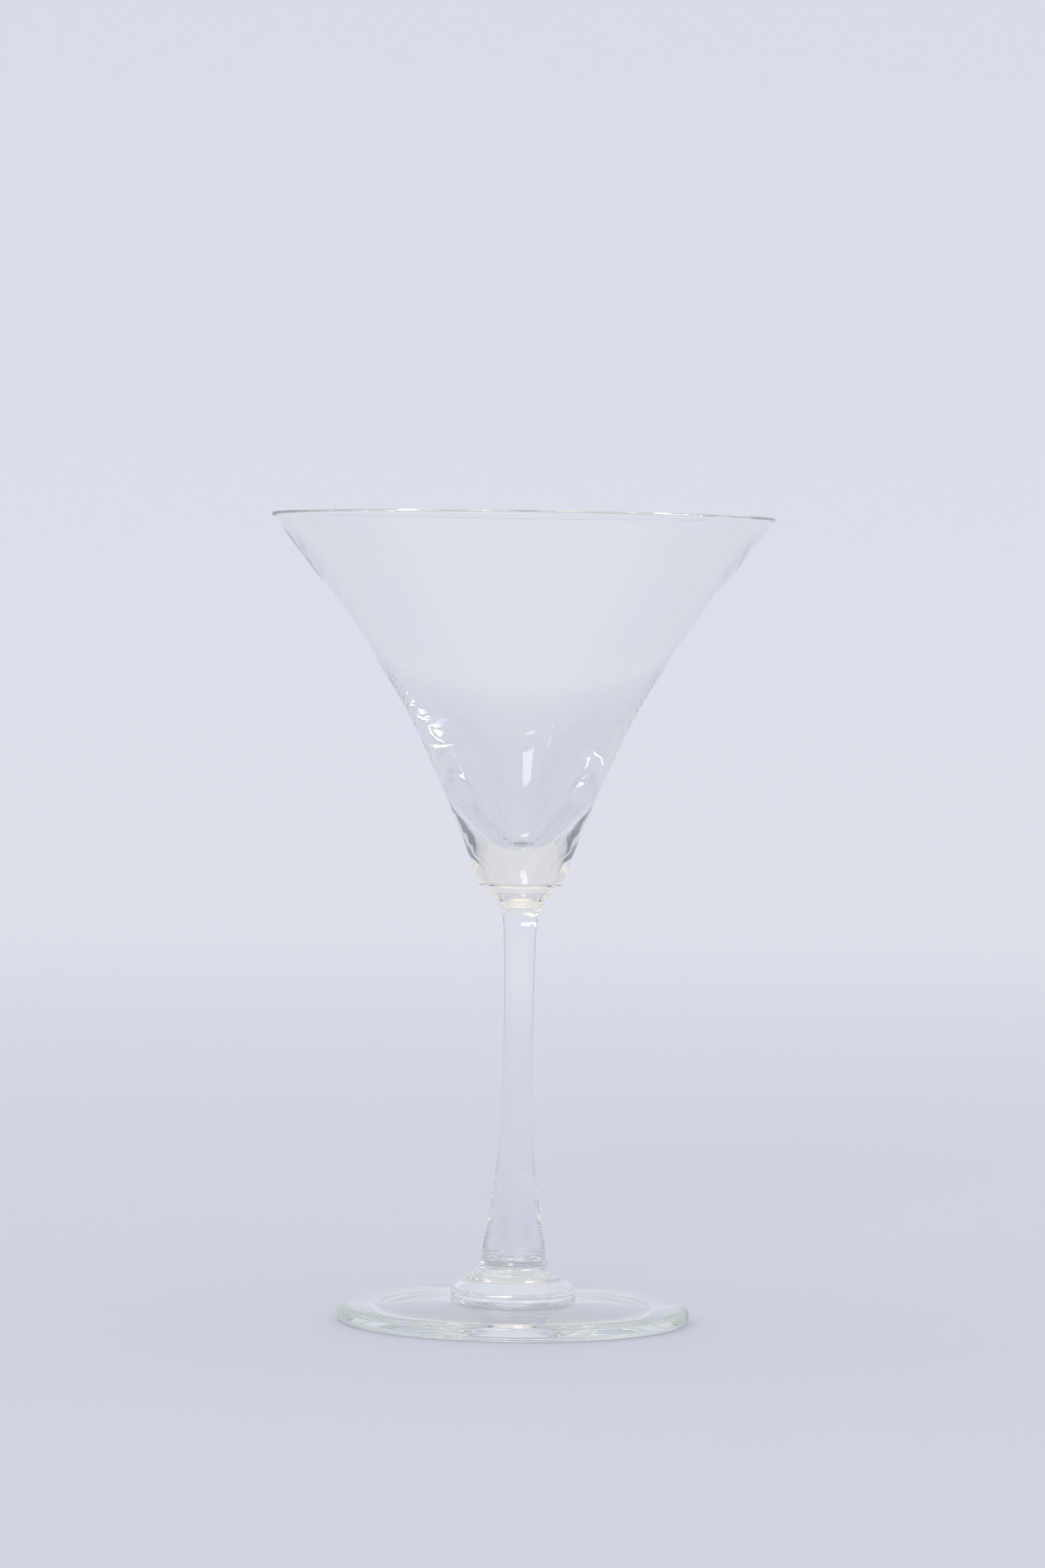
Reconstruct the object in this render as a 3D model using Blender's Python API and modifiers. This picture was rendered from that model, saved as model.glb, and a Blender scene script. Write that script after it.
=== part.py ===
"""A martini glass: a flaring bowl, a collar, a drawn stem, a pedestal and a round foot.

Each piece is one gather of glass, turned about the Z axis. On a real glass the gathers are
fused at their seams. Here each one is its own solid, with a hair of space at every seam.
The glass stands on z = 0 with its axis on Z.
"""

import math

import bmesh
import bpy

# Every length below is in millimetres, and becomes metres when its mesh is made.
MM = 0.001

# Driving dimensions: the whole glass
HEIGHT = 180.4
RIM_RADIUS = 56.25
LIP_THICKNESS = 0.85
FOOT_RADIUS = 39.4
FOOT_EDGE_TOP = 3.85
SEAM_GAP = 0.3

# Heights of the four fused seams above the table
BOWL_SEAM = 97.2
COLLAR_SEAM = 93.4
STEM_SEAM = 14.75
PEDESTAL_SEAM = 5.6

# Bowl: the wall outside and inside below the lip, as (radius, height)
BOWL_WALL_LEAN = 38.0  # degrees from upright, at the lip
BOWL_OUTSIDE = ((44.75, 165), (34.1, 150), (25.0, 135), (17.95, 120), (13.0, 108), (10.2, 100.1))
BOWL_INSIDE = ((9.65, 116), (14.1, 122.5), (22.6, 135), (32.4, 149.5), (43.2, 165))
CAVITY_FLOOR = 107.1
CAVITY_RADIUS = 6.5  # of the round bottom
CAVITY_SWEEP = 55.0  # degrees of it, before the wall goes on
BASE_LEDGE_RADIUS = 7.66  # the flat underside, before its rounded corner
BASE_CORNER_RADIUS = 2.2
BASE_CORNER_START = -20.0  # degrees: square to the wall above it

# Collar: an upright band, then a cone down to the neck of the stem
BAND_RADIUS = 7.0
BAND_HEIGHT = 0.75
CONE_OUTSIDE = ((6.72, 95.95), (5.65, 94.5))
NECK_RADIUS = 4.95

# Stem: its outline between the two seams, as (radius, height)
STEM_SHOULDER = ((4.45, 92.2), (4.15, 91.2), (3.95, 90.0), (3.83, 88.8))
STEM_WAIST = ((3.58, 83.5), (3.38, 74), (3.36, 64), (3.48, 55), (3.66, 46))
STEM_FLARE = ((4.02, 37.5), (4.94, 29.6), (5.82, 23.6), (6.85, 18.0))
STEM_FOOT_RADIUS = 7.3

# Pedestal: a drum, then a flare to a rounded shoulder, as (radius, height)
DRUM_TOP_RADIUS = 7.35
DRUM_OUTSIDE = ((7.6, 13.3), (8.06, 12.15))
FLARE_OUTSIDE = ((9.1, 11.1), (11.2, 9.55), (13.5, 8.0), (14.05, 7.4), (14.2, 6.8))
SHOULDER_RADIUS = 14.0

# Foot: its rounded edge and the shallow hollow underneath
FOOT_EDGE_RADIUS = 1.4
REST_RING_INNER = 31.0
HOLLOW_DEPTH = 2.4

# Turning steps round the axis, and points along each curve
BOWL_STEPS = 64
STEM_STEPS = 36
FOOT_STEPS = 64
SPAN_POINTS = 2
LIP_POINTS = 6
ARC_POINTS = 4

GLASS = (0.90, 0.95, 0.94, 1.0)
GREEN_GLASS = (0.84, 0.93, 0.90, 1.0)
REFRACTIVE_INDEX = 1.52
POLISH = 0.02


def arc(centre, radius, start, end, steps):
    """Points on an arc round (radius, height). Angle 0 points outwards and 90 degrees up."""
    angles = [math.radians(start + (end - start) * i / steps) for i in range(steps + 1)]
    return [(centre[0] + radius * math.cos(a), centre[1] + radius * math.sin(a)) for a in angles]


def curve_through(points, span_points=SPAN_POINTS):
    """A Catmull-Rom curve through all the points, its ends carried on straight."""
    first = tuple(2 * a - b for a, b in zip(points[0], points[1]))
    last = tuple(2 * a - b for a, b in zip(points[-1], points[-2]))
    knots = [first, *points, last]
    made = []
    for before, start, end, after in zip(knots, knots[1:], knots[2:], knots[3:]):
        for i in range(span_points):
            t = i / span_points
            made.append(tuple(
                0.5 * (2 * s + (e - b) * t + (2 * b - 5 * s + 4 * e - a) * t**2
                       + (3 * s - b - 3 * e + a) * t**3)
                for b, s, e, a in zip(before, start, end, after)
            ))
    return [*made, points[-1]]


def bowl_profile():
    """Up the inside from the cavity's floor, round the lip, and down the outside to the seam."""
    lip_radius = LIP_THICKNESS / 2
    lip_centre = (RIM_RADIUS - lip_radius, HEIGHT - lip_radius)
    # The lip is a half circle, from square to the inside wall round to square to the outside.
    lip = arc(lip_centre, lip_radius, 180 - BOWL_WALL_LEAN, -BOWL_WALL_LEAN, LIP_POINTS)
    floor_centre = (0, CAVITY_FLOOR + CAVITY_RADIUS)
    floor = arc(floor_centre, CAVITY_RADIUS, -90, CAVITY_SWEEP - 90, ARC_POINTS)
    inside = curve_through([floor[-1], *BOWL_INSIDE, lip[0]])
    outside = curve_through([lip[-1], *BOWL_OUTSIDE])
    base = BOWL_SEAM + SEAM_GAP / 2
    corner_centre = (BASE_LEDGE_RADIUS, base + BASE_CORNER_RADIUS)
    corner = arc(corner_centre, BASE_CORNER_RADIUS, BASE_CORNER_START, -90, ARC_POINTS)
    return [*floor[:-1], *inside[:-1], *lip[:-1], *outside[:-1], *corner, (0, base)]


def collar_profile():
    top = BOWL_SEAM - SEAM_GAP / 2
    bottom = COLLAR_SEAM + SEAM_GAP / 2
    band = [(BAND_RADIUS, top), (BAND_RADIUS, top - BAND_HEIGHT)]
    return [(0, top), *band, *CONE_OUTSIDE, (NECK_RADIUS, bottom), (0, bottom)]


def stem_profile():
    top = COLLAR_SEAM - SEAM_GAP / 2
    bottom = STEM_SEAM + SEAM_GAP / 2
    between = [*STEM_SHOULDER, *STEM_WAIST, *STEM_FLARE]
    side = curve_through([(NECK_RADIUS, top), *between, (STEM_FOOT_RADIUS, bottom)])
    return [(0, top), *side, (0, bottom)]


def pedestal_profile():
    top = STEM_SEAM - SEAM_GAP / 2
    bottom = PEDESTAL_SEAM + SEAM_GAP / 2
    between = [*DRUM_OUTSIDE, *FLARE_OUTSIDE]
    side = curve_through([(DRUM_TOP_RADIUS, top), *between, (SHOULDER_RADIUS, bottom)])
    return [(0, top), *side, (0, bottom)]


def foot_profile():
    """A seat, a coned top, a rounded edge, a flat rest ring and a shallow hollow inside it."""
    top = PEDESTAL_SEAM - SEAM_GAP / 2
    edge = FOOT_RADIUS - FOOT_EDGE_RADIUS
    fall = math.degrees(math.atan2(top - FOOT_EDGE_TOP, edge - SHOULDER_RADIUS))
    upper_centre = (edge, FOOT_EDGE_TOP - FOOT_EDGE_RADIUS)
    upper_edge = arc(upper_centre, FOOT_EDGE_RADIUS, 90 - fall, 0, ARC_POINTS)
    lower_edge = arc((edge, FOOT_EDGE_RADIUS), FOOT_EDGE_RADIUS, 0, -90, ARC_POINTS)
    # The hollow is a cap of a large sphere: its radius comes from its width and its depth.
    sphere = (REST_RING_INNER**2 + HOLLOW_DEPTH**2) / (2 * HOLLOW_DEPTH)
    half_angle = math.degrees(math.asin(REST_RING_INNER / sphere))
    hollow = arc((0, HOLLOW_DEPTH - sphere), sphere, 90 - half_angle, 90, ARC_POINTS)
    return [(0, top), (SHOULDER_RADIUS, top), *upper_edge, *lower_edge, *hollow]


def glass(name, colour):
    material = bpy.data.materials.new(name)
    material.use_nodes = True
    shader = material.node_tree.nodes["Principled BSDF"]
    shader.inputs["Base Color"].default_value = colour
    shader.inputs["Metallic"].default_value = 0.0
    shader.inputs["Roughness"].default_value = POLISH
    shader.inputs["IOR"].default_value = REFRACTIVE_INDEX
    shader.inputs["Transmission Weight"].default_value = 1.0
    return material


def turned(name, profile, steps, material, collection):
    """One piece of glass: the profile, in millimetres, turned once round the Z axis."""
    mesh = bpy.data.meshes.new(name)
    outline = bmesh.new()
    points = [outline.verts.new((radius * MM, 0, height * MM)) for radius, height in profile]
    for start, end in zip(points, points[1:]):
        outline.edges.new((start, end))
    outline.to_mesh(mesh)
    outline.free()
    mesh.materials.append(material)
    piece = bpy.data.objects.new(name, mesh)
    collection.objects.link(piece)
    turn = piece.modifiers.new("Turn", "SCREW")
    turn.axis = "Z"
    turn.steps = steps
    turn.render_steps = steps
    turn.use_merge_vertices = True
    turn.merge_threshold = 0.00001
    turn.use_smooth_shade = True
    # The flat seats keep flat shading beside the round sides.
    piece.modifiers.new("Shading", "WEIGHTED_NORMAL")
    return piece


def main():
    for old in list(bpy.data.objects):
        bpy.data.objects.remove(old, do_unlink=True)
    collection = bpy.data.collections.new("Martini Glass")
    bpy.context.scene.collection.children.link(collection)
    turned("bowl", bowl_profile(), BOWL_STEPS, glass("Bowl Glass", GLASS), collection)
    turned("upper_collar", collar_profile(), STEM_STEPS, glass("Collar Glass", GLASS), collection)
    turned("stem", stem_profile(), STEM_STEPS, glass("Stem Glass", GLASS), collection)
    turned("pedestal", pedestal_profile(), STEM_STEPS, glass("Pedestal Glass", GLASS), collection)
    turned("foot", foot_profile(), FOOT_STEPS, glass("Foot Glass", GREEN_GLASS), collection)


main()
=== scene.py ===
"""A clear martini glass on a pale sweep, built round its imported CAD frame.

A finely turned piece of glass stands in for each CAD solid. The real gathers are fused, so the
faces where two pieces meet carry no surface: light passes straight on from one into the next.
Lengths are millimetres in the glass's outlines and metres in the scene, with the table at z = 0.
"""

import math

import bpy
import numpy as np
from mathutils import Matrix, Vector

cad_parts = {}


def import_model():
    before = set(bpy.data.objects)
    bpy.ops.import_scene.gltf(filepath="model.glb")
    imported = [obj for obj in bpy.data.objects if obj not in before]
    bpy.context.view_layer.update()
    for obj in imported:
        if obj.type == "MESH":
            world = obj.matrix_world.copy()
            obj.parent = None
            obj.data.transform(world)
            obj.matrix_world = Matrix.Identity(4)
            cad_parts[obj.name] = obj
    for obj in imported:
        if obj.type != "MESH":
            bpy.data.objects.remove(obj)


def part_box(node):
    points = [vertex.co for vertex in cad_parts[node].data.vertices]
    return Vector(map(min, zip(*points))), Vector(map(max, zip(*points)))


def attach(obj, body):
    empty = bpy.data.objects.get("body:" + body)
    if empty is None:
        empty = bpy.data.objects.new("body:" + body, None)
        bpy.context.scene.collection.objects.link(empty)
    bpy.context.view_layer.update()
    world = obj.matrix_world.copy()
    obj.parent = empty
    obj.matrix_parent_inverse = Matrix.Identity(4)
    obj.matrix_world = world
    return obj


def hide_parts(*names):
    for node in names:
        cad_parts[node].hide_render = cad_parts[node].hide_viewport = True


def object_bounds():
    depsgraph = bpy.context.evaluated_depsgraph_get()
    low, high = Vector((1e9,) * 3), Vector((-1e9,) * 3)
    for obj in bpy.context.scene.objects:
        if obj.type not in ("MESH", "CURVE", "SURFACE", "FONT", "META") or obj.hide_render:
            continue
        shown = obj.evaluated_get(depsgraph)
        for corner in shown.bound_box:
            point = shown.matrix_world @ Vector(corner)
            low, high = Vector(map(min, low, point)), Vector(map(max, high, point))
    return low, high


MM = 0.001

# Camera, in metres: level with the bowl, a little below the rim, looking slightly down
CAMERA_DISTANCE = 1.2527
CAMERA_HEIGHT = 0.1542
CAMERA_SENSOR = 36  # millimetres, as the lens
CAMERA_LENS = 128.7
CAMERA_PITCH = math.radians(1.546)
CAMERA_YAW = math.radians(0.024)
CAMERA_ROLL = math.radians(0.806)

# Glass
STEPS = 192  # round the axis
SHARP_ANGLE = math.radians(40)  # of an edge that isn't smoothed over
SEAM_SPACE = 0.02  # between the fused faces of two pieces
IOR = 1.52
CLEAR_TINT = (0.3, 0.65, 0.45)
CLEAR_DENSITY = 0.8
GREEN_TINT = (0.3, 0.8, 0.2)
GREEN_DENSITY = 0.9
WAVE_DEPTH = 0.00002  # of the faint waves in the surface, in metres
WAVE_STRENGTH = 0.5
POLISH = (0.0, 0.03)  # the roughness varies between these
POLISH_NOISE = (0.45, 0.75)  # as the noise goes from one of these to the other
BOUNCES = 300  # light runs a long way round inside the lip
OPEN_BOUNCES = 48  # through faces that carry no surface

# How many waves a metre each pattern of noise has along X, Y and Z
BLOWN_GRAIN = (70, 70, 35)
DRAWN_GRAIN = (320, 320, 14)
SPUN_GRAIN = (45, 45, 45)
POLISH_GRAIN = (160, 160, 160)
NAP_GRAIN = (700, 700, 700)

# Bowl, as (radius, height)
LIP_RADIUS = 0.425  # of the half circle between the inside and the outside
WALL_LEAN = 38.0  # degrees from upright, at the lip
BOWL_OUTSIDE = ((44.75, 165), (34.1, 150), (25.0, 135), (17.95, 120), (13.0, 108))
BOWL_INSIDE = ((9.65, 116), (14.1, 122.5), (22.6, 135), (32.4, 149.5), (43.2, 165))
CAVITY_FLOOR = 107.1
CAVITY_RADIUS = 6.5  # of its round bottom
CAVITY_SWEEP = 55.0  # degrees of that, before the wall goes on
CORNER_RADIUS = 2.2  # of the base's rounded corner
CORNER_CENTRE_RADIUS = 7.66
CORNER_START = -20.0  # degrees: square to the wall above it

# Collar: an upright band, then a cone down to the neck of the stem
BAND_RADIUS = 7.0
BAND_OUTSIDE = ((7.05, 96.95), (6.94, 96.65), (7.0, 96.4), (6.84, 96.1))
CONE_OUTSIDE = ((6.72, 95.95), (5.65, 94.5), (5.02, 93.65))
NECK_RADIUS = 4.95

# Stem
STEM_SHOULDER = ((4.72, 93.0), (4.45, 92.2), (4.15, 91.2), (3.95, 90.0), (3.83, 88.8))
STEM_WAIST = ((3.58, 83.5), (3.38, 74), (3.36, 64), (3.48, 55), (3.66, 46))
STEM_FLARE = ((4.02, 37.5), (4.94, 29.6), (5.82, 23.6), (6.85, 18.0))
STEM_FOOT_RADIUS = 7.3

# Pedestal: a drum, then a flare with fine rings in it, to a rounded shoulder
DRUM_OUTSIDE = ((7.38, 14.4), (7.5, 13.7), (7.68, 13.1), (7.72, 12.85), (8.0, 12.4), (8.06, 12.15))
FLARE_RINGS = ((8.45, 11.8), (8.53, 11.6), (9.1, 11.15), (9.2, 10.95))
FLARE_OUTSIDE = ((10.0, 10.35), (11.2, 9.55), (12.5, 8.7), (13.5, 8.0), (14.05, 7.4), (14.2, 6.8))
SHOULDER_RADIUS = 14.0

# Foot: a rounded edge, and a flat ring to stand on round a shallow hollow
EDGE_RADIUS = 1.4
EDGE_TOP = 3.85
REST_RING_INNER = 31.0
HOLLOW = ((24, 0.96), (16, 1.76), (8, 2.24))
HOLLOW_DEPTH = 2.4

# Faults: the axis of the glass wanders sideways by this much, as (height, offset)
SWAY = ((0, 0), (15, 0.0), (60, 0.35), (92, 0.47), (115, 0.3), (180, 0))
RIM_OVAL = 0.06  # how far the rim is out of round
OVAL_HEIGHTS = (100, 160)  # it comes in between these
RIPPLE = 0.007  # of the bowl's solid base
RIPPLE_RISE = (98, 103)  # it comes in between these heights,
RIPPLE_CALM = (113, 118)  # gets weaker where the cavity starts,
RIPPLE_CALMING = 0.75  # by this share,
RIPPLE_END = (130, 145)  # and dies out here

# The sweep behind and under the glass, in metres
SWEEP_STEPS = 144
SWEEP_FIRST_RING = 0.1
SWEEP_RINGS = 16  # on the level part
SWEEP_FLOOR = 1.7
SWEEP_BEND = 0.7
SWEEP_TOP = 1.3
FLOOR_DROP = 0.00005  # keeps the cloth clear of the foot
CLOTH_ROUGHNESS = 0.9
CLOTH_GLOSS = 0.1
NAP_STRENGTH = 0.15
NAP_DEPTH = 0.0003
SWEEP_GLOW = 0.38  # as if lit from behind too

# Its colours: one pale cloth, with the floor painted darker than the wall as shade. The floor
# turns to the wall with distance, and the wall to its top with height
SHADED_FLOOR_COLOUR = (0.535, 0.555, 0.64)
WALL_COLOUR = (0.62, 0.645, 0.703)
WALL_TOP_COLOUR = (0.66, 0.655, 0.66)
WALL_DISTANCES = (0.3, 2.4)
WALL_TOP_HEIGHTS = (0.56, 0.64)

# Its painted shade on the sides: darker panels and stretches, which give clear glass its edges.
# Their starts and ends are in degrees round the glass, from straight behind it.
SIDE_SHADE_COLOUR = (0.2, 0.235, 0.25)
SHADE_PANEL_HEIGHTS = (0.4, 0.55)
SHADE_PANEL_START, SHADE_PANEL_END = (60, 68), (140, 150)
SIDE_SHADE_FALLOFF = 0.75  # how far the low sweep is painted darker too, as shade, in four narrower stretches
FALLOFF_DISTANCES = (0.5, 1.0)
FRONT_START, FRONT_END = (59, 65), (70, 76)
REAR_START, REAR_END = (104, 110), (115, 121)

# The room round it all turns to ceiling as the Z of the direction goes from start to end
ROOM_COLOUR = (0.64, 0.65, 0.69)
CEILING_COLOUR = (1.04, 0.96, 0.84)
CEILING_START, CEILING_END = 0.7, 0.95

GLASS_MIDDLE = (0, 0, 0.12)  # what the lights are aimed at


# ---------------------------------------------------------------- outlines


def arc(centre, radius, start, end, steps):
    """Points on an arc round (radius, height). Angle 0 points outwards and 90 degrees up."""
    angles = np.radians(np.linspace(start, end, steps + 1))
    return [(centre[0] + radius * math.cos(a), centre[1] + radius * math.sin(a)) for a in angles]


def smooth_curve(points, steps, start=None, end=None):
    """A cubic spline through the points, with no jump in curvature.

    start and end are its directions there; without them the curve ends unbent.
    """
    knots = np.array(points, float)
    count = len(knots)
    lengths = np.linalg.norm(np.diff(knots, axis=0), axis=1)
    along = np.concatenate([[0], np.cumsum(lengths)])
    span = np.diff(along)
    slope = np.diff(knots, axis=0) / span[:, None]
    lhs, rhs = np.zeros((count, count)), np.zeros((count, 2))
    for i in range(1, count - 1):
        lhs[i, i - 1 : i + 2] = span[i - 1], 2 * (span[i - 1] + span[i]), span[i]
        rhs[i] = 6 * (slope[i] - slope[i - 1])
    lhs[0, 0] = lhs[-1, -1] = 1
    if start is not None:
        lhs[0, :2] = 2 * span[0], span[0]
        rhs[0] = 6 * (slope[0] - np.array(start) / np.linalg.norm(start))
    if end is not None:
        lhs[-1, -2:] = span[-1], 2 * span[-1]
        rhs[-1] = 6 * (np.array(end) / np.linalg.norm(end) - slope[-1])
    bend = np.linalg.solve(lhs, rhs)
    made = []
    for distance in np.linspace(0, along[-1], steps + 1):
        i = min(max(int(np.searchsorted(along, distance)) - 1, 0), count - 2)
        ahead = (along[i + 1] - distance) / span[i]
        behind = (distance - along[i]) / span[i]
        straight = ahead * knots[i] + behind * knots[i + 1]
        bow = (ahead**3 - ahead) * bend[i] + (behind**3 - behind) * bend[i + 1]
        made.append(tuple(straight + bow * span[i] ** 2 / 6))
    return made


def blend(low, high, value):
    """0 below low, 1 above high, and a smooth step between."""
    share = min(max((value - low) / (high - low), 0), 1)
    return share * share * (3 - 2 * share)


def between(start, end, value):
    """1 from start to end, each a (low, high) to blend over, and 0 outside them."""
    return blend(*start, value) * (1 - blend(*end, value))


def seam_height(upper, lower):
    """The height in millimetres of the seam between two CAD nodes, midway in their gap."""
    return (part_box(upper)[0].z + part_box(lower)[1].z) / 2 / MM


def bowl_outline(size):
    """Up the inside from the floor of the cavity, over the lip, down the outside to the seam."""
    lip_centre = (size["rim"] - LIP_RADIUS, size["height"] - LIP_RADIUS)
    lip = arc(lip_centre, LIP_RADIUS, 180 - WALL_LEAN, -WALL_LEAN, steps=24)
    floor_centre = (0, CAVITY_FLOOR + CAVITY_RADIUS)
    floor = arc(floor_centre, CAVITY_RADIUS, -90, CAVITY_SWEEP - 90, steps=30)
    base = size["bowl_seam"] + SEAM_SPACE / 2
    corner_centre = (CORNER_CENTRE_RADIUS, base + CORNER_RADIUS)
    corner = arc(corner_centre, CORNER_RADIUS, CORNER_START, -90, steps=20)
    lean, sweep, turn = (math.radians(a) for a in (WALL_LEAN, CAVITY_SWEEP, CORNER_START))
    inside = smooth_curve(
        [floor[-1], *BOWL_INSIDE, lip[0]],
        steps=110,
        start=(math.cos(sweep), math.sin(sweep)),
        end=(math.sin(lean), math.cos(lean)),
    )
    outside = smooth_curve(
        [lip[-1], *BOWL_OUTSIDE, corner[0]],
        steps=140,
        start=(-math.sin(lean), -math.cos(lean)),
        end=(math.sin(turn), -math.cos(turn)),
    )
    ledge = (BAND_RADIUS, base)
    return [*floor[1:-1], *inside[:-1], *lip[:-1], *outside[:-1], *corner, ledge]


def collar_outline(size):
    top, neck = size["bowl_seam"] - SEAM_SPACE / 2, size["collar_seam"] + SEAM_SPACE / 2
    band = smooth_curve([(BAND_RADIUS, top), *BAND_OUTSIDE], steps=16)
    cone = smooth_curve([*CONE_OUTSIDE, (NECK_RADIUS, neck)], steps=24)
    return [*band, *cone]


def stem_outline(size):
    top, foot = size["collar_seam"] - SEAM_SPACE / 2, size["stem_seam"] + SEAM_SPACE / 2
    side = [*STEM_SHOULDER, *STEM_WAIST, *STEM_FLARE]
    return smooth_curve([(NECK_RADIUS, top), *side, (STEM_FOOT_RADIUS, foot)], steps=200)


def pedestal_outline(size):
    top, seat = size["stem_seam"] - SEAM_SPACE / 2, size["pedestal_seam"] + SEAM_SPACE / 2
    side = [*DRUM_OUTSIDE, *FLARE_RINGS, *FLARE_OUTSIDE]
    return smooth_curve([(STEM_FOOT_RADIUS, top), *side, (SHOULDER_RADIUS, seat)], steps=120)


def foot_outline(size):
    """The coned top, the rounded edge, the flat rest ring and the hollow inside it."""
    crest = (SHOULDER_RADIUS, size["pedestal_seam"] - SEAM_SPACE / 2)
    edge = size["foot"] - EDGE_RADIUS
    fall = math.degrees(math.atan2(crest[1] - EDGE_TOP, edge - SHOULDER_RADIUS))
    upper = arc((edge, EDGE_TOP - EDGE_RADIUS), EDGE_RADIUS, 90 - fall, 0, steps=20)
    lower = arc((edge, EDGE_RADIUS), EDGE_RADIUS, 0, -90, steps=20)
    slope = (upper[0][0] - crest[0], upper[0][1] - crest[1])
    rings = 30
    top = [tuple(c + s * i / rings for c, s in zip(crest, slope)) for i in range(rings)]
    across = [(REST_RING_INNER, 0), *HOLLOW, (0, HOLLOW_DEPTH)]
    hollow = smooth_curve(across, steps=60, end=(-1, 0))
    return [*top, *upper, *lower, *hollow[:-1]]


# ---------------------------------------------------------------- pieces


def place(radius, angle, height):
    """A point on the turned surface in metres, with the small faults of drawn and blown glass."""
    heights, offsets = zip(*SWAY)
    oval = RIM_OVAL * math.sin(2 * angle + 0.7) * blend(*OVAL_HEIGHTS, height)
    # Two sets of waves that spiral opposite ways.
    waves = math.sin(17 * angle + 0.9 * height) + math.sin(11 * angle - 1.7 * height + 1)
    ripple = RIPPLE * waves * blend(*RIPPLE_RISE, height)
    ripple *= 1 - RIPPLE_CALMING * blend(*RIPPLE_CALM, height)
    ripple *= 1 - blend(*RIPPLE_END, height)
    out = radius + oval + ripple
    x = out * math.cos(angle) + np.interp(height, heights, offsets)
    return x * MM, out * math.sin(angle) * MM, height * MM


def turned(name, outline, material, top, base):
    """One closed piece of glass, turned round Z.

    The outline runs from the top to the base. Each end is (height of its middle, fused), and
    a fused end has no glass surface there: the glass carries on into the next piece.
    """
    angles = [2 * math.pi * k / STEPS for k in range(STEPS)]
    points = [place(r, a, z) for r, z in outline for a in angles]
    faces = []
    for i in range(len(outline) - 1):
        for k in range(STEPS):
            j = (k + 1) % STEPS
            faces.append((i * STEPS + k, (i + 1) * STEPS + k, (i + 1) * STEPS + j, i * STEPS + j))
    surface = [1.0] * len(faces)
    for start, (height, fused) in ((0, top), ((len(outline) - 1) * STEPS, base)):
        middle = len(points)
        points.append(place(0, 0, height))
        for k in range(STEPS):
            edge = (start + k, start + (k + 1) % STEPS)
            faces.append((middle, *edge) if start == 0 else (middle, *reversed(edge)))
            surface.append(0.0 if fused else 1.0)
    mesh = bpy.data.meshes.new(name)
    mesh.from_pydata(points, [], faces)
    mask = mesh.attributes.new("glass_surface", "FLOAT", "FACE")
    mask.data.foreach_set("value", surface)
    mesh.materials.append(material)
    mesh.shade_smooth()
    mesh.set_sharp_from_angle(angle=SHARP_ANGLE)
    piece = bpy.data.objects.new(name, mesh)
    bpy.context.scene.collection.objects.link(piece)
    return piece


# ---------------------------------------------------------------- materials


def noise(nodes, links, grain, detail):
    """Noise in the object's own space, stretched to the grain."""
    space = nodes.new("ShaderNodeTexCoord")
    stretch = nodes.new("ShaderNodeMapping")
    stretch.inputs["Scale"].default_value = grain
    links.new(space.outputs["Object"], stretch.inputs["Vector"])
    texture = nodes.new("ShaderNodeTexNoise")
    texture.inputs["Scale"].default_value = 1.0
    texture.inputs["Detail"].default_value = detail
    links.new(stretch.outputs["Vector"], texture.inputs["Vector"])
    return texture.outputs["Fac"]


def bump(nodes, links, height, strength, distance):
    """The direction of the surface, bumped by the height."""
    node = nodes.new("ShaderNodeBump")
    node.inputs["Strength"].default_value = strength
    node.inputs["Distance"].default_value = distance
    links.new(height, node.inputs["Height"])
    return node.outputs["Normal"]


def glass_material(name, tint, density, grain):
    """Polished glass with faint waves along its grain, and a polish that isn't quite even."""
    material = bpy.data.materials.new(name)
    material.use_nodes = True
    nodes, links = material.node_tree.nodes, material.node_tree.links
    shader = nodes["Principled BSDF"]
    shader.inputs["Base Color"].default_value = (1, 1, 1, 1)
    shader.inputs["IOR"].default_value = IOR
    shader.inputs["Transmission Weight"].default_value = 1.0
    waves = noise(nodes, links, grain, detail=1.0)
    links.new(bump(nodes, links, waves, WAVE_STRENGTH, WAVE_DEPTH), shader.inputs["Normal"])
    polish = nodes.new("ShaderNodeMapRange")
    polish.inputs["From Min"].default_value = POLISH_NOISE[0]
    polish.inputs["From Max"].default_value = POLISH_NOISE[1]
    polish.inputs["To Min"].default_value = POLISH[0]
    polish.inputs["To Max"].default_value = POLISH[1]
    links.new(noise(nodes, links, POLISH_GRAIN, detail=3.0), polish.inputs["Value"])
    links.new(polish.outputs["Result"], shader.inputs["Roughness"])
    mask = nodes.new("ShaderNodeAttribute")
    mask.attribute_name = "glass_surface"
    links.new(mask.outputs["Fac"], shader.inputs["Alpha"])
    absorption = nodes.new("ShaderNodeVolumeAbsorption")
    absorption.inputs["Color"].default_value = (*tint, 1)
    absorption.inputs["Density"].default_value = density
    links.new(absorption.outputs["Volume"], nodes["Material Output"].inputs["Volume"])
    return material


def backdrop_material():
    """Pale blue grey cloth with a fine nap. Its shade comes from the sweep's own colours."""
    material = bpy.data.materials.new("Pale blue grey backdrop")
    material.use_nodes = True
    nodes, links = material.node_tree.nodes, material.node_tree.links
    shader = nodes["Principled BSDF"]
    shader.inputs["Roughness"].default_value = CLOTH_ROUGHNESS
    shader.inputs["Specular IOR Level"].default_value = CLOTH_GLOSS
    nap = noise(nodes, links, NAP_GRAIN, detail=4.0)
    links.new(bump(nodes, links, nap, NAP_STRENGTH, NAP_DEPTH), shader.inputs["Normal"])
    shade = nodes.new("ShaderNodeAttribute")
    shade.attribute_name = "shade"
    links.new(shade.outputs["Color"], shader.inputs["Base Color"])
    links.new(shade.outputs["Color"], shader.inputs["Emission Color"])
    shader.inputs["Emission Strength"].default_value = SWEEP_GLOW
    return material


# ---------------------------------------------------------------- studio


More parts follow.
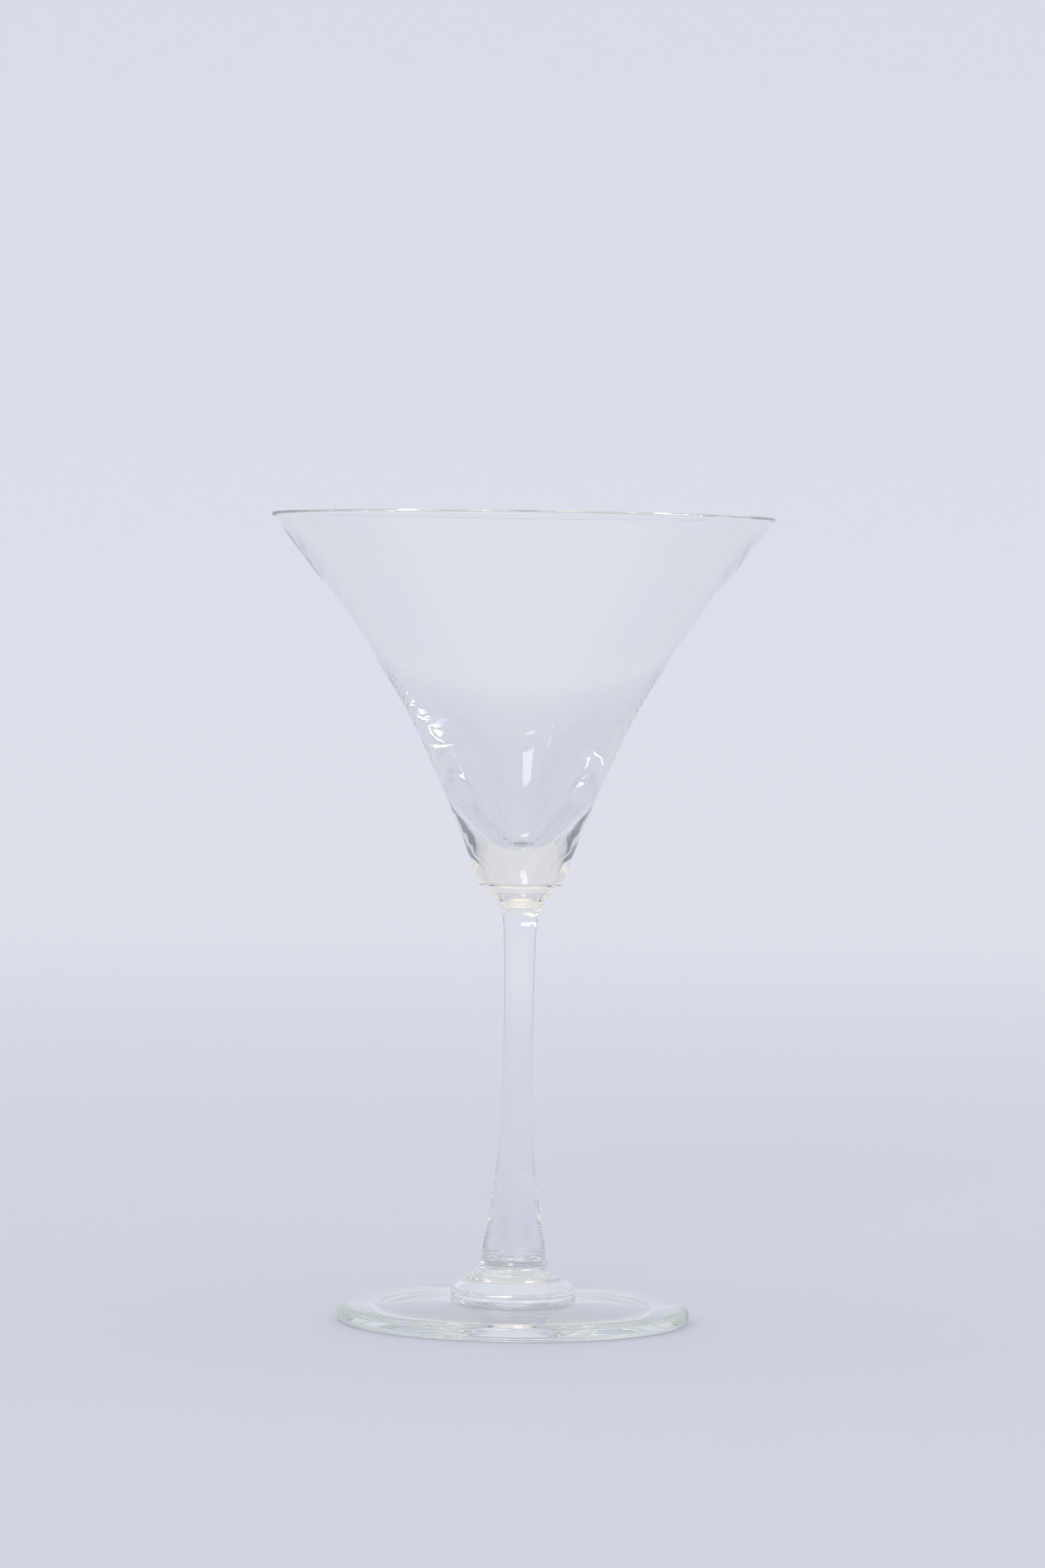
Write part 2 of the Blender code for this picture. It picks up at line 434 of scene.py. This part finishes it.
def mixed(first, second, share):
    """The first colour, changed towards the second by the share."""
    return [a + (b - a) * share for a, b in zip(first, second)]


def backdrop_shade(angle, radius, height):
    """The colour of the sweep, with its painted shade, at an angle round it from +X, a distance
    out and a height.
    """
    off = abs(math.degrees(math.remainder(math.pi / 2 - angle, 2 * math.pi)))
    # Painted shade: the floor is darker, and lifts to the wall's colour with distance
    colour = mixed(SHADED_FLOOR_COLOUR, WALL_COLOUR, blend(*WALL_DISTANCES, radius))
    colour = mixed(colour, WALL_TOP_COLOUR, blend(*WALL_TOP_HEIGHTS, height))
    # Painted shade on the sides: darker panels up the wall, and darker stretches on the low sweep
    panel_shade = blend(*SHADE_PANEL_HEIGHTS, height) * between(SHADE_PANEL_START, SHADE_PANEL_END, off)
    stretches = between(FRONT_START, FRONT_END, off) + between(REAR_START, REAR_END, off)
    falloff_shade = SIDE_SHADE_FALLOFF * stretches * blend(*FALLOFF_DISTANCES, radius)
    return mixed(colour, SIDE_SHADE_COLOUR, max(panel_shade, falloff_shade))


def make_sweep():
    """A level floor that curves up into a low wall all the way round."""
    quarter = arc((0, 0), SWEEP_BEND, -90, 0, steps=24)
    bend = [(SWEEP_FLOOR + x, SWEEP_BEND + z) for x, z in quarter]
    level = [(r, 0) for r in np.linspace(SWEEP_FIRST_RING, SWEEP_FLOOR, SWEEP_RINGS + 1)[:-1]]
    profile = [*level, *bend, (SWEEP_FLOOR + SWEEP_BEND, SWEEP_TOP)]
    angles = [2 * math.pi * k / SWEEP_STEPS for k in range(SWEEP_STEPS)]
    points, shades = [(0, 0, -FLOOR_DROP)], [backdrop_shade(0, 0, 0)]
    for r, z in profile:
        for a in angles:
            points.append((r * math.cos(a), r * math.sin(a), z - FLOOR_DROP))
            shades.append(backdrop_shade(a, r, z))
    faces = [(0, 1 + k, 1 + (k + 1) % SWEEP_STEPS) for k in range(SWEEP_STEPS)]
    for i in range(len(profile) - 1):
        inner, outer = 1 + i * SWEEP_STEPS, 1 + (i + 1) * SWEEP_STEPS
        for k in range(SWEEP_STEPS):
            j = (k + 1) % SWEEP_STEPS
            faces.append((inner + k, outer + k, outer + j, inner + j))
    mesh = bpy.data.meshes.new("backdrop")
    mesh.from_pydata(points, [], faces)
    shade = mesh.attributes.new("shade", "FLOAT_COLOR", "POINT")
    shade.data.foreach_set("color", [v for c in shades for v in (*c, 1)])
    mesh.materials.append(backdrop_material())
    mesh.shade_smooth()
    sweep = bpy.data.objects.new("backdrop", mesh)
    bpy.context.scene.collection.objects.link(sweep)


def area_light(name, position, target, size, power, colour):
    """A rectangle of light aimed at the target. Its size is (width, height)."""
    data = bpy.data.lights.new(name, "AREA")
    data.shape = "RECTANGLE"
    data.size, data.size_y = size
    data.energy = power
    data.color = colour
    lamp = bpy.data.objects.new(name, data)
    bpy.context.scene.collection.objects.link(lamp)
    lamp.location = position
    aim = Vector(target) - Vector(position)
    lamp.rotation_euler = aim.to_track_quat("-Z", "Y").to_euler()
    return lamp


def make_lights():
    area_light(
        "window",
        position=(-0.25, -1.42, 0.74),
        target=GLASS_MIDDLE,
        size=(0.42, 0.36),
        power=3.0,
        colour=(1, 0.97, 0.93),
    )
    area_light(
        "sky",
        position=(-0.97, -1.08, 0.86),
        target=GLASS_MIDDLE,
        size=(0.1, 0.16),
        power=0.15,
        colour=(0.8, 0.9, 1),
    )
    behind = area_light(
        "backdrop_light",
        position=(0, 0.6, 1.5),
        target=(0, 2.2, 0.4),
        size=(2.0, 0.3),
        power=2.5,
        colour=(1, 1, 1),
    )
    # It lights the sweep only: it isn't mirrored in the glass or seen through it.
    behind.visible_glossy = False
    behind.visible_transmission = False


def make_room():
    """Soft light from all round, and a warmer, brighter ceiling overhead."""
    world = bpy.data.worlds.new("room")
    bpy.context.scene.world = world
    world.use_nodes = True
    nodes, links = world.node_tree.nodes, world.node_tree.links
    direction = nodes.new("ShaderNodeTexCoord")
    parts = nodes.new("ShaderNodeSeparateXYZ")
    links.new(direction.outputs["Generated"], parts.inputs["Vector"])
    overhead = nodes.new("ShaderNodeValToRGB")
    overhead.color_ramp.interpolation = "EASE"
    low, high = overhead.color_ramp.elements
    low.position, low.color = CEILING_START, (*ROOM_COLOUR, 1)
    high.position, high.color = CEILING_END, (*CEILING_COLOUR, 1)
    links.new(parts.outputs["Z"], overhead.inputs["Fac"])
    links.new(overhead.outputs["Color"], nodes["Background"].inputs["Color"])


def make_camera():
    data = bpy.data.cameras.new("camera")
    data.sensor_width = CAMERA_SENSOR
    data.lens = CAMERA_LENS
    camera = bpy.data.objects.new("camera", data)
    bpy.context.scene.collection.objects.link(camera)
    turn = Matrix.Rotation(-CAMERA_YAW, 4, "Z")
    tilt = Matrix.Rotation(math.pi / 2 - CAMERA_PITCH, 4, "X")
    roll = Matrix.Rotation(CAMERA_ROLL, 4, "Z")
    stand = Matrix.Translation((0, -CAMERA_DISTANCE, CAMERA_HEIGHT))
    camera.matrix_world = stand @ turn @ tilt @ roll
    bpy.context.scene.camera = camera


def make_glass(size):
    """The five pieces from the bowl down, each in the place of its CAD node."""
    seams = [size[k] for k in ("bowl_seam", "collar_seam", "stem_seam", "pedestal_seam")]
    above = [(z + SEAM_SPACE / 2, True) for z in seams]
    below = [(z - SEAM_SPACE / 2, True) for z in seams]
    blown = glass_material("Clear blown glass", CLEAR_TINT, CLEAR_DENSITY, BLOWN_GRAIN)
    drawn = glass_material("Clear drawn glass", CLEAR_TINT, CLEAR_DENSITY, DRAWN_GRAIN)
    spun = glass_material("Faintly green glass", GREEN_TINT, GREEN_DENSITY, SPUN_GRAIN)
    pieces = (
        ("bowl", bowl_outline(size), blown, (CAVITY_FLOOR, False), above[0]),
        ("upper_collar", collar_outline(size), drawn, below[0], above[1]),
        ("stem", stem_outline(size), drawn, below[1], above[2]),
        ("pedestal", pedestal_outline(size), drawn, below[2], above[3]),
        ("foot", foot_outline(size), spun, below[3], (HOLLOW_DEPTH, False)),
    )
    for node, outline, glass, top, base in pieces:
        piece = turned(node + "_glass", outline, glass, top, base)
        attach(piece, "root")
        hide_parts(node)


def set_rendering():
    """Plain colours, and light followed as far as clear glass needs."""
    scene = bpy.context.scene
    scene.view_settings.view_transform = "Standard"
    scene.cycles.max_bounces = BOUNCES
    scene.cycles.glossy_bounces = BOUNCES
    scene.cycles.transmission_bounces = BOUNCES
    scene.cycles.transparent_max_bounces = OPEN_BOUNCES


def main():
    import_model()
    cad_low, cad_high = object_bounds()
    size = {
        "rim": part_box("bowl")[1].x / MM,
        "height": cad_high.z / MM,
        "foot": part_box("foot")[1].x / MM,
        "bowl_seam": seam_height("bowl", "upper_collar"),
        "collar_seam": seam_height("upper_collar", "stem"),
        "stem_seam": seam_height("stem", "pedestal"),
        "pedestal_seam": seam_height("pedestal", "foot"),
    }
    make_glass(size)
    make_sweep()
    make_lights()
    make_room()
    make_camera()
    set_rendering()


main()
